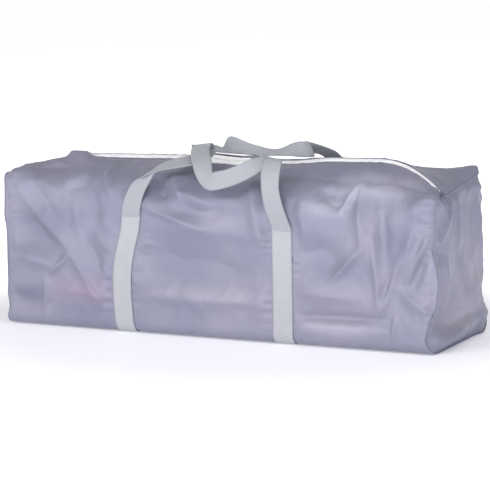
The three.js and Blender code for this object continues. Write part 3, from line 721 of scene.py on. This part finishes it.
def drape(points):
    """Soft folds and puckers on the body panel, as offsets along its normals."""
    x, y, z = points[..., 0], points[..., 1], points[..., 2]
    front = 1.65 * ramp(-y, 0.040, 0.11)
    rear = 1.2 * ramp(y, 0.040, 0.11)
    flat = np.stack([x, z], axis=-1)
    mirrored = flat * np.array([-1, 1])
    offset = np.zeros(x.shape)
    for fold in FRONT_FOLDS:
        offset += stroke(flat, *fold) * front + 0.85 * stroke(mirrored, *fold) * rear
    cloud = points.reshape(-1, 3)
    broad = noise_at(cloud * np.array([1, 1, 1.3]), 7.0, 1).reshape(x.shape)
    creases = crumple(cloud * np.array([1.0, 1.0, 0.8]), 2, 9.0).reshape(x.shape)
    wall = ramp(z, 0.010, 0.05)
    offset += (0.0035 * broad + 0.0075 * (creases - 0.62)) * wall + 0.0012
    at_flap = np.minimum(np.arange(points.shape[0]), np.arange(points.shape[0])[::-1])[:, None]
    flap = ramp(at_flap * ROW_PITCH, 0.010, 0.045)
    offset = np.where(offset < 0, offset * flap, offset * (0.25 + 0.75 * flap))
    offset *= 0.08 + 0.92 * beside_bands(points)
    for band, top in BAND_TOPS.items():
        below = 1 - ramp(z, top, top + 0.02)
        for side in (-1, 1):
            distance = side * (x - band_x(band, z)) - WEBBING / 2
            gathers = pucker(distance, z + 0.3 * y, 0.017, 0.016, 0.0022, 5 + 2 * side + top * 50)
            offset += gathers * below * wall * ramp(distance, 0.0, 0.004)
    end = HALF_LENGTH - np.abs(x)
    offset *= ramp(end, -0.004, 0.016)
    gathers = pucker(end, z + y, PUCKER_PITCH, PUCKER_REACH, PUCKER_HEIGHT, 11)
    offset += gathers * ramp(end, 0.0, 0.005) * wall
    offset -= 0.0042 * np.exp(-(np.maximum(end, 0) / 0.007) ** 1.3) * wall
    edge_puckers = pucker(at_flap * ROW_PITCH, x, 0.023, 0.020, 0.0012, 23)
    offset += np.maximum(edge_puckers, -0.0002) * ramp(at_flap * ROW_PITCH, 0.004, 0.012)
    return np.maximum(offset, -DEEPEST_DENT)


def end_grid(side, wrap):
    """An end panel. Its rim is the wrap's own end column; rings step in towards the middle."""
    rim = wrap[2:-2, 0 if side < 0 else -1].copy()
    closing = [rim[-1] + (rim[0] - rim[-1]) * t for t in (0.25, 0.5, 0.75, 1.0)]
    rim = np.concatenate([rim, closing])
    rings = 56 if FINE else 40
    centre = np.array([side * HALF_LENGTH, 0.0, 0.135])
    grid = []
    for r in range(rings + 1):
        t = r / rings
        ring = rim + (centre - rim) * t
        dome = 0.0065 * math.sin(math.pi / 2 * min(1, t * 2.2)) ** 0.8
        ring[:, 0] = rim[:, 0] * (1 - t) ** 3 + (1 - (1 - t) ** 3) * side * HALF_LENGTH + side * dome
        grid.append(ring)
    return np.stack(grid, axis=0)


finish = Finish()
make_studio()


def make_body_panel():
    base, uv, length = wrap_grid()
    base = seam_wander(base)
    points = pull_corners(base + outward_normals(base) * drape(base)[..., None])
    points[..., 2] = np.maximum(points[..., 2], BASE_Z - 0.0002)
    obj = grid_object("body_panel_cloth", points, uv, flip=True)
    obj.data.materials.append(finish.taffeta)
    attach(obj, "root")
    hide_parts("body_panel")
    return points


def make_end_panel(name, side, wrap):
    grid = end_grid(side, wrap)
    y, z = grid[..., 1], grid[..., 2]
    flat = np.stack([y if side > 0 else -y, z], axis=-1)
    t = np.arange(grid.shape[0])[:, None] / (grid.shape[0] - 1) + 0 * y
    offset = np.zeros(y.shape)
    for fold in END_FOLDS:
        offset += stroke(flat, *fold)
    cloud = grid.reshape(-1, 3)
    offset += 0.003 * noise_at(cloud, 14.0, 4 + side).reshape(y.shape)
    offset += 0.0042 * (crumple(cloud, 8 + side, 10.0).reshape(y.shape) - 0.62)
    along = np.cumsum(np.linalg.norm(np.diff(grid[0], axis=0, prepend=grid[0][:1]), axis=1))[None, :] + 0 * y
    rim = t * 0.125
    offset = np.maximum(offset, -0.005) * ramp(t, 0.0, 0.14) * (1 - 0.7 * ramp(t, 0.93, 1.0))
    gathers = pucker(rim, along, PUCKER_PITCH, PUCKER_REACH, PUCKER_HEIGHT, 17 + side)
    offset += gathers * ramp(rim, 0, 0.005)
    offset += 0.0045 * (1 - np.exp(-(rim / 0.008) ** 1.3)) - 0.0025
    grid[..., 0] += side * offset * ramp(t, 0.0, 0.02)
    grid[..., 2] = np.maximum(grid[..., 2], BASE_Z - 0.0002)
    obj = grid_object(name + "_cloth", grid, flip=side < 0)
    obj.data.materials.append(finish.taffeta)
    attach(obj, "root")
    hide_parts(name)


wrap = make_body_panel()
make_end_panel("left_end_panel", -1, wrap)
make_end_panel("right_end_panel", 1, wrap)


# ---------------------------------------------------------------- webbing

def face_outwards(obj):
    mesh = bmesh.new()
    mesh.from_mesh(obj.data)
    bmesh.ops.remove_doubles(mesh, verts=mesh.verts, dist=1e-6)
    bmesh.ops.recalc_face_normals(mesh, faces=mesh.faces)
    mesh.to_mesh(obj.data)
    mesh.free()


def ribbon_object(name, left, right, thickness, length, look):
    """Webbing between two edge lines: a closed strip with rounded selvedges and UVs in metres."""
    count = len(left)
    across = np.linspace(0, 1, 11)
    middle = left[:, None] + (right - left)[:, None] * across[None, :, None]
    along = np.gradient((left + right) / 2, axis=0)
    normal = np.cross(right - left, along)
    normal /= np.maximum(np.linalg.norm(normal, axis=1, keepdims=True), 1e-9)
    profile = 1 - 0.55 * np.abs(2 * across - 1) ** 6
    lift = normal[:, None] * (thickness / 2 * profile)[None, :, None]
    top, bottom = middle + lift, middle - lift
    ring = np.concatenate([top, bottom[:, ::-1]], axis=1)
    obj = mesh_object(name, ring.reshape(-1, 3), tube_faces(count, ring.shape[1]))
    u = np.concatenate([across, across[::-1]]) * WEBBING
    v = np.linspace(0, length, count)
    set_uv(obj, np.stack(np.meshgrid(u, v), axis=-1).reshape(-1, 2))
    face_outwards(obj)
    smooth(obj)
    obj.data.materials.append(look)
    return obj


def catmull(points, steps):
    """Centripetal Catmull-Rom through the points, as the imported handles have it."""
    points = np.asarray(points, float)
    padded = np.concatenate([[2 * points[0] - points[1]], points, [2 * points[-1] - points[-2]]])
    out = []
    for i in range(len(points) - 1):
        p0, p1, p2, p3 = padded[i:i + 4]
        knots = [max(np.linalg.norm(b - a), 1e-6) ** 0.5 for a, b in ((p0, p1), (p1, p2), (p2, p3))]
        m1 = (p1 - p0) / knots[0] - (p2 - p0) / (knots[0] + knots[1]) + (p2 - p1) / knots[1]
        m2 = (p2 - p1) / knots[1] - (p3 - p1) / (knots[1] + knots[2]) + (p3 - p2) / knots[2]
        m1, m2 = m1 * knots[1], m2 * knots[1]
        for t in np.arange(steps) / steps:
            t2, t3 = t * t, t * t * t
            out.append((2 * t3 - 3 * t2 + 1) * p1 + (t3 - 2 * t2 + t) * m1
                       + (-2 * t3 + 3 * t2) * p2 + (t3 - t2) * m2)
    out.append(points[-1])
    return np.array(out)


BAND_Y = 129.8
FRONT_HANDLE = [
    ((-129, -BAND_Y, 206), (-164, -BAND_Y, 206)),
    ((-122, -131, 233), (-156, -131, 231)),
    ((-111, -132, 254), (-145, -132, 251)),
    ((-103, -124, 273), (-134, -134, 261)),
    ((-104, -104, 285), (-118, -135, 268)),
    ((-92, -85, 293), (-94, -117, 277)),
    ((-66, -70, 299), (-62, -100, 283)),
    ((-53, -59, 304), (-34, -87, 290)),
    ((-54, -50, 308), (-22, -62, 302)),
    ((-58, -46, 313.5), (-24, -50, 312.5)),
    ((-63, -55, 316), (-29, -57, 321)),
    ((-61, -70, 311), (-26, -71, 315)),
    ((-52, -91, 303), (-17, -91, 308)),
    ((-38, -115, 292), (-3, -113, 298.5)),
    ((-23, -133, 274), (9, -135, 282)),
    ((-9, -140, 258), (12, -139, 279)),
    ((6, -142, 250), (16, -141, 281)),
    ((28, -141, 253), (34, -140, 285)),
    ((60, -139, 264), (57, -134, 294)),
    ((86, -131, 279), (74, -122, 303)),
    ((101, -120, 291), (84, -108, 306)),
    ((114, -111, 298.5), (88, -99, 307)),
    ((123, -112, 301.5), (92, -105, 305.5)),
    ((128, -124, 297.5), (95, -121, 299)),
    ((130, -137, 282), (97, -137, 281)),
    ((130, -140, 257), (99, -140, 256)),
    ((136, -136, 227), (103, -136, 226)),
    ((147, -BAND_Y, 194), (112, -BAND_Y, 194)),
]
REAR_HANDLE = [
    ((-129, BAND_Y, 206), (-164, BAND_Y, 206)),
    ((-129, 137, 237), (-164, 137, 237)),
    ((-127, 142, 267), (-162, 141, 269)),
    ((-120, 127, 294), (-153, 118, 299)),
    ((-106, 97, 306), (-134, 82, 304)),
    ((-90, 71, 307), (-102, 53, 300)),
    ((-70, 51, 308.5), (-70, 37, 298)),
    ((-52, 36, 308), (-46, 28, 297.5)),
    ((-36, 28, 326.5), (-22, 22, 297)),
    ((6, 27, 315.5), (4, 21, 296.5)),
    ((47, 37, 306.5), (46, 22, 296)),
    ((80, 30, 318), (76, 21, 297)),
    ((94, 26, 322), (98, 21, 296)),
    ((103, 28, 322), (113, 25, 296)),
    ((108, 36, 320), (119, 36, 296)),
    ((104, 46, 320), (113, 47, 297)),
    ((95, 54, 320), (100, 55, 297)),
    ((91, 65, 320), (92, 66, 297)),
    ((102, 76, 316), (91, 77, 298)),
    ((117, 93, 308.5), (89, 88, 297)),
    ((129, 118, 297), (97, 111, 294)),
    ((138, 134, 277), (105, 134, 279)),
    ((145, 135, 245), (111, 135, 245)),
    ((147, BAND_Y, 194), (112, BAND_Y, 194)),
]


def make_handle(name, rows, side):
    """A free loop of webbing; its ends are tucked under the sewn band."""
    tuck = np.array([0, -side * 0.0007, -0.003])
    laps = []
    for e in (0, 1):
        edge = catmull([np.array(row[e]) * MM for row in rows], 7)
        foot = [edge[0] + tuck * i for i in (4, 3, 2, 1)]
        end = [edge[-1] + tuck * i for i in (1, 2, 3, 4)]
        laps.append(np.concatenate([foot, edge, end]))
    centre = (laps[0] + laps[1]) / 2
    length = np.linalg.norm(np.diff(centre, axis=0), axis=1).sum()
    obj = ribbon_object(name + "_webbing", laps[0], laps[1], 0.0017, length, finish.handle_shade_webbing)
    joint = next(j for j in frame["joints"] if j["name"] == name + "_swing")
    up = Vector((-joint["axis"][2], 0, joint["axis"][0])).normalized()
    if up.z < 0:
        up = -up
    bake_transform(obj)
    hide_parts(name)


def surface_at(x, row):
    """A point on the finished body panel at station x on a given row."""
    stations = wrap[row, :, 0]
    k = int(np.clip(np.searchsorted(stations, x), 1, len(stations) - 1))
    t = np.clip((x - stations[k - 1]) / max(stations[k] - stations[k - 1], 1e-9), 0, 1)
    return wrap[row, k - 1] * (1 - t) + wrap[row, k] * t


def make_band(name, band):
    """A strip sewn down the front, under the base and up the rear."""
    heights = wrap[:, WRAP_STATIONS // 2, 2]
    rows = [r for r in range(wrap.shape[0]) if heights[r] < BAND_TOPS[band] - 0.0014]
    edges = []
    for side in (-1, 1):
        edge = [surface_at(band_x(band, heights[r]) + side * WEBBING / 2, r) for r in rows]
        edges.append(np.array(edge))
    along = np.gradient((edges[0] + edges[1]) / 2, axis=0)
    normal = np.cross(along, edges[1] - edges[0])
    normal /= np.linalg.norm(normal, axis=1, keepdims=True)
    edges = [edge + normal * 0.0013 for edge in edges]
    for edge in edges:
        edge[:, 2] = np.maximum(edge[:, 2], 0.0007)
    length = np.linalg.norm(np.diff(edges[0], axis=0), axis=1).sum()
    obj = ribbon_object(name + "_sewn", edges[0], edges[1], 0.0013, length, finish.webbing)
    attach(obj, "root")
    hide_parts(name)


make_handle("front_handle", FRONT_HANDLE, -1)
make_handle("rear_handle", REAR_HANDLE, 1)
make_band("left_webbing_band", "left")
make_band("right_webbing_band", "right")


# ---------------------------------------------------------------- zip, seams and stitches

def make_tape(name, side):
    stations = np.linspace(-HALF_LENGTH + 0.007, HALF_LENGTH - 0.007, 200)
    offsets = np.linspace(0.0001, 0.015, 9)
    grid = np.array([[on_zip(x, side * d, -0.0004) for x in stations] for d in offsets])
    uv = np.stack(np.meshgrid(stations, offsets), axis=-1)[..., ::-1]
    obj = grid_object(name + "_cloth", grid, uv, flip=side > 0)
    obj.data.materials.append(finish.tape)
    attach(obj, "root")
    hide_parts(name)


def tree_input(tree, name, kind, value):
    socket = tree.interface.new_socket(name, in_out="INPUT", socket_type=kind)
    if value is not None:
        socket.default_value = value
    return socket


def repeat_tree(name):
    """Places a small bar every so often along a curve, lying along it or square to it."""
    tree = bpy.data.node_groups.new(name, "GeometryNodeTree")
    tree.interface.new_socket("Geometry", in_out="INPUT", socket_type="NodeSocketGeometry")
    tree.interface.new_socket("Geometry", in_out="OUTPUT", socket_type="NodeSocketGeometry")
    tree_input(tree, "Spacing", "NodeSocketFloat", 0.003)
    tree_input(tree, "Bar size", "NodeSocketVector", (0.001, 0.001, 0.001))
    tree_input(tree, "Turn", "NodeSocketFloat", 0.0)
    tree_input(tree, "Unevenness", "NodeSocketFloat", 0.1)
    tree_input(tree, "Finish", "NodeSocketMaterial", None)
    given = node(tree, "NodeGroupInput").outputs
    points = node(tree, "GeometryNodeCurveToPoints",
                  [("Curve", given["Geometry"]), ("Length", given["Spacing"])], mode="LENGTH")
    bar = node(tree, "GeometryNodeMeshCube", [("Size", given["Bar size"])])
    rounded = node(tree, "GeometryNodeSubdivisionSurface", [("Mesh", bar.outputs[0])], Level=1)
    turn = node(tree, "FunctionNodeRandomValue", data_type="FLOAT", Seed=3)
    tree.links.new(given["Unevenness"], turn.inputs[3])
    flipped = node(tree, "ShaderNodeMath", [(0, given["Unevenness"])], operation="MULTIPLY")
    flipped.inputs[1].default_value = -1
    tree.links.new(flipped.outputs[0], turn.inputs[2])
    spin = node(tree, "ShaderNodeCombineXYZ", [(0, turn.outputs[1]), (2, given["Turn"])])
    aimed = node(tree, "FunctionNodeRotateRotation", [("Rotation", points.outputs["Rotation"]),
                                                      ("Rotate By", spin.outputs[0])], rotation_space="LOCAL")
    bars = node(tree, "GeometryNodeInstanceOnPoints", [
        ("Points", points.outputs["Points"]), ("Instance", rounded.outputs[0]),
        ("Rotation", aimed.outputs[0])])
    real = node(tree, "GeometryNodeRealizeInstances", [("Geometry", bars.outputs[0])])
    finished = node(tree, "GeometryNodeSetMaterial",
                    [("Geometry", real.outputs[0]), ("Material", given["Finish"])])
    node(tree, "NodeGroupOutput", [("Geometry", finished.outputs[0])])
    return tree


REPEAT = repeat_tree("bars_along_a_line")


def bars_along(name, paths, spacing, size, look, turn=0.0, unevenness=0.08):
    """A mesh of small rounded bars, one every spacing metres along the paths; size is across, up, along."""
    curve = bpy.data.curves.new(name, "CURVE")
    curve.dimensions = "3D"
    curve.twist_mode = "Z_UP"
    for path in paths:
        spline = curve.splines.new("POLY")
        spline.points.add(len(path) - 1)
        spline.points.foreach_set("co", np.column_stack([path, np.ones(len(path))]).ravel())
    line = bpy.data.objects.new(name + "_line", curve)
    bpy.context.scene.collection.objects.link(line)
    modifier = line.modifiers.new("bars", "NODES")
    modifier.node_group = REPEAT
    values = {"Spacing": spacing, "Bar size": size, "Turn": turn, "Unevenness": unevenness, "Finish": look}
    for socket in REPEAT.interface.items_tree:
        if socket.name in values:
            modifier[socket.identifier] = values[socket.name]
    evaluated = line.evaluated_get(bpy.context.evaluated_depsgraph_get())
    mesh = bpy.data.meshes.new_from_object(evaluated)
    bpy.data.objects.remove(line)
    obj = bpy.data.objects.new(name, mesh)
    bpy.context.scene.collection.objects.link(obj)
    smooth(obj)
    return obj


def make_coil(name, side):
    """One row of the zip: a close row of coil turns."""
    stations = np.linspace(-0.372, 0.372, 170)
    path = np.array([on_zip(x, side * 0.0014, 0.0009) for x in stations])
    obj = bars_along(name + "_coil", [path], 0.0019, (0.0027, 0.0021, 0.0017), finish.coil,
                      turn=-ZIP_TILT, unevenness=0.02)
    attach(obj, "root")
    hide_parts(name)


def tube_along(name, path, radius, look):
    """A thin round tube along a path, closed at both ends."""
    along = np.gradient(path, axis=0)
    along /= np.linalg.norm(along, axis=1, keepdims=True)
    aside = np.cross(along, np.array([0.31, 0.22, 0.92]))
    aside /= np.linalg.norm(aside, axis=1, keepdims=True)
    over = np.cross(along, aside)
    sides = 8
    ring = [path + radius * (math.cos(a) * aside + math.sin(a) * over)
            for a in (2 * math.pi * k / sides for k in range(sides))]
    obj = mesh_object(name, np.stack(ring, axis=1).reshape(-1, 3), tube_faces(len(path), sides))
    face_outwards(obj)
    smooth(obj)
    obj.data.materials.append(look)
    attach(obj, "root")


def make_seams():
    """Thin dark tubes round the two end panels, from the zip's front edge to its rear one: painted shade in the
    seam creases.
    """
    for name, column, side in (("left_seam_shade_line", 0, -1), ("right_seam_shade_line", -1, 1)):
        path = wrap[2:-2:2, column] + np.array([side * 0.0004, 0, 0])
        tube_along(name, path, 0.0010, finish.tab_cloth_and_seam_shade)


def make_stitches():
    """Running stitches beside the zip and down both selvedges of every band."""
    hem = 0.0030            # from the cloth's edge to its stitches
    beside_zip = []
    for side in (-1, 1):
        stations = np.linspace(-0.37, 0.36, 240)
        row = [on_zip(x, side * (flap_edge_at(x) + hem), STITCH_LIFT) for x in stations]
        beside_zip.append(np.array(row))
    obj = bars_along("zip_stitches", beside_zip, 0.0048, (0.0005, 0.0005, 0.0032), finish.thread)
    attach(obj, "root")
    on_bands = []
    heights = wrap[:, WRAP_STATIONS // 2, 2]
    for band, top in BAND_TOPS.items():
        rows = [r for r in range(wrap.shape[0]) if heights[r] < top - 0.003]
        for across in (-STITCH_INSET, STITCH_INSET):
            path = np.array([surface_at(band_x(band, heights[r]) + across, r) for r in rows])
            away = np.array([np.sign(p[1]) * ramp(p[2], 0.004, 0.02) for p in path])
            path[:, 1] += away * STITCH_LIFT
            path = path[np.abs(path[:, 1]) > 0.1]
            for wall in (path[path[:, 1] < 0], path[path[:, 1] > 0]):
                on_bands.append(wall)
        for height in (top - 0.003, top - 0.012):
            for wall in (-1, 1):
                r = int(np.argmin(np.abs(heights - height) + (np.sign(wrap[:, 0, 1]) != wall)))
                across = np.linspace(-STITCH_INSET, STITCH_INSET, 9)
                row = [surface_at(band_x(band, height) + a, r) for a in across]
                on_bands.append(np.array(row) + np.array([0, wall * STITCH_LIFT, 0]))
    obj = bars_along("band_stitches", on_bands, 0.0046, (0.0006, 0.0006, 0.0032), finish.pale_thread)
    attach(obj, "root")


make_tape("front_zip_tape", -1)
make_tape("rear_zip_tape", 1)
make_coil("front_zip_teeth", -1)
make_coil("rear_zip_teeth", 1)
make_seams()
make_stitches()


# ---------------------------------------------------------------- the folded playpen inside

def make_board(name, seed):
    """One padded board of the mattress: crowned on both faces, pulled in at its piped edge."""
    low, high = (np.array(corner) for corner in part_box(name))
    centre, half = (low + high) / 2, (high - low) / 2 - 0.0012
    thin = int(np.argmin(half))
    wide, tall = [axis for axis in (0, 1, 2) if axis != thin]
    u, v = np.meshgrid(np.linspace(-1, 1, 60), np.linspace(-1, 1, 26), indexing="ij")
    rim = (1 - np.abs(u) ** 18) * (1 - np.abs(v) ** 10)
    thickness = 0.30 * np.sqrt(np.clip(rim, 0, 1)) + 0.70 * np.clip(rim, 0, 1) ** 0.25
    dimples = 0.06 * np.sin(u * 9.4 + seed) * np.sin(v * 4.7)
    corner = 1 - 0.012 * (np.abs(u * v)) ** 6
    faces, sheets = [], []
    for side in (-1, 1):
        grid = np.zeros(u.shape + (3,))
        grid[..., wide] = centre[wide] + half[wide] * u * corner
        grid[..., tall] = centre[tall] + half[tall] * v * corner
        grid[..., thin] = centre[thin] + side * half[thin] * thickness * (0.94 + dimples)
        faces += grid_faces(*u.shape, first=len(sheets) * u.size)
        sheets.append(grid.reshape(-1, 3))
    obj = mesh_object(name + "_pad", np.concatenate(sheets), faces)
    face_outwards(obj)
    smooth(obj)
    obj.data.materials.append(finish.mattress)
    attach(obj, "root")
    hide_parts(name)


def make_strap(name):
    """A hook-and-loop strap drawn round the four boards. It cuts across their corners."""
    low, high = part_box(name)
    y, bottom, top = high[1] - 0.0012, low[2] + 0.0003, high[2] - 0.0008
    cut = 0.021
    outline = []
    for cy, cz, turn in ((1, 1, 0), (-1, 1, 1), (-1, -1, 2), (1, -1, 3)):
        depth = cut if cz > 0 else 0.010
        middle = np.array([cy * (y - depth), (top - depth) if cz > 0 else (bottom + depth)])
        for i in range(9):
            angle = math.pi / 2 * (turn + i / 8)
            outline.append(middle + depth * np.array([math.cos(angle), math.sin(angle)]))
    outline.append(outline[0])
    path, length = spaced(np.array(outline), 120)
    left = np.column_stack([np.full(len(path), low[0]), path])
    right = np.column_stack([np.full(len(path), high[0]), path])
    obj = ribbon_object(name + "_loop", left, right, 0.0009, length, finish.strap)
    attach(obj, "root")
    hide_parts(name)


def make_folded_wall(name, seed):
    """A playpen wall folded to and fro between the rails, with soft rounded turns."""
    low, high = (np.array(corner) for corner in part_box(name))
    size = high - low
    thin = 2 if size[2] < size[1] else 1
    tall = 3 - thin
    layers = 5
    pitch = (size[thin] - 0.002) / (layers - 1)
    path = []
    for layer in range(layers):
        level = low[thin] + 0.001 + layer * pitch
        ends = (low[tall] + 0.004, high[tall] - 0.004)
        start, stop = ends if layer % 2 == 0 else ends[::-1]
        for t in np.linspace(0, 1, 22):
            path.append((start + (stop - start) * t, level))
        if layer < layers - 1:
            heading = 1 if stop > start else -1
            for i in range(1, 6):
                angle = math.pi * i / 6
                path.append((stop + heading * 0.003 * math.sin(angle),
                             level + pitch / 2 * (1 - math.cos(angle))))
    path, length = spaced(np.array(path), 190)
    stations = np.linspace(low[0], high[0], 70)
    grid = np.zeros((len(path), len(stations), 3))
    grid[..., 0] = stations[None, :]
    grid[..., tall] = path[:, 0][:, None]
    grid[..., thin] = path[:, 1][:, None]
    ripple = np.sin(grid[..., 0] * 37 + seed) * np.sin(grid[..., tall] * 55 + seed)
    grid[..., thin] += 0.0007 * ripple
    uv = np.stack(np.meshgrid(stations, np.linspace(0, length, len(path))), axis=-1)
    obj = grid_object(name + "_cloth", grid, uv)
    obj.data.materials.append(finish.wall)
    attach(obj, "root")
    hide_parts(name)


for seed, place in enumerate(("base", "front", "rear", "top")):
    make_board(f"mattress_{place}_board", seed)
for side in ("left", "right"):
    make_strap(f"{side}_mattress_strap")
for seed, place in enumerate(("low", "high", "front", "rear")):
    make_folded_wall(f"{place}_folded_wall", seed)


def dress_cad_nodes():
    looks = {
        "zip_slider_enamel": finish.enamel, "zip_coil": finish.coil, "zip_end_tab": finish.tab_cloth_and_seam_shade,
        "printed_mattress_cloth": finish.mattress, "hook_and_loop_strap": finish.strap,
        "frame_tube": finish.tube, "frame_plastic": finish.plastic, "wall_cloth": finish.wall,
    }
    for entry in frame["record"]["subparts"]:
        look = looks.get(entry["material_slot"])
        if look:
            obj = frame["nodes"][entry["node"]]
            obj.data.materials.clear()
            obj.data.materials.append(look)


dress_cad_nodes()
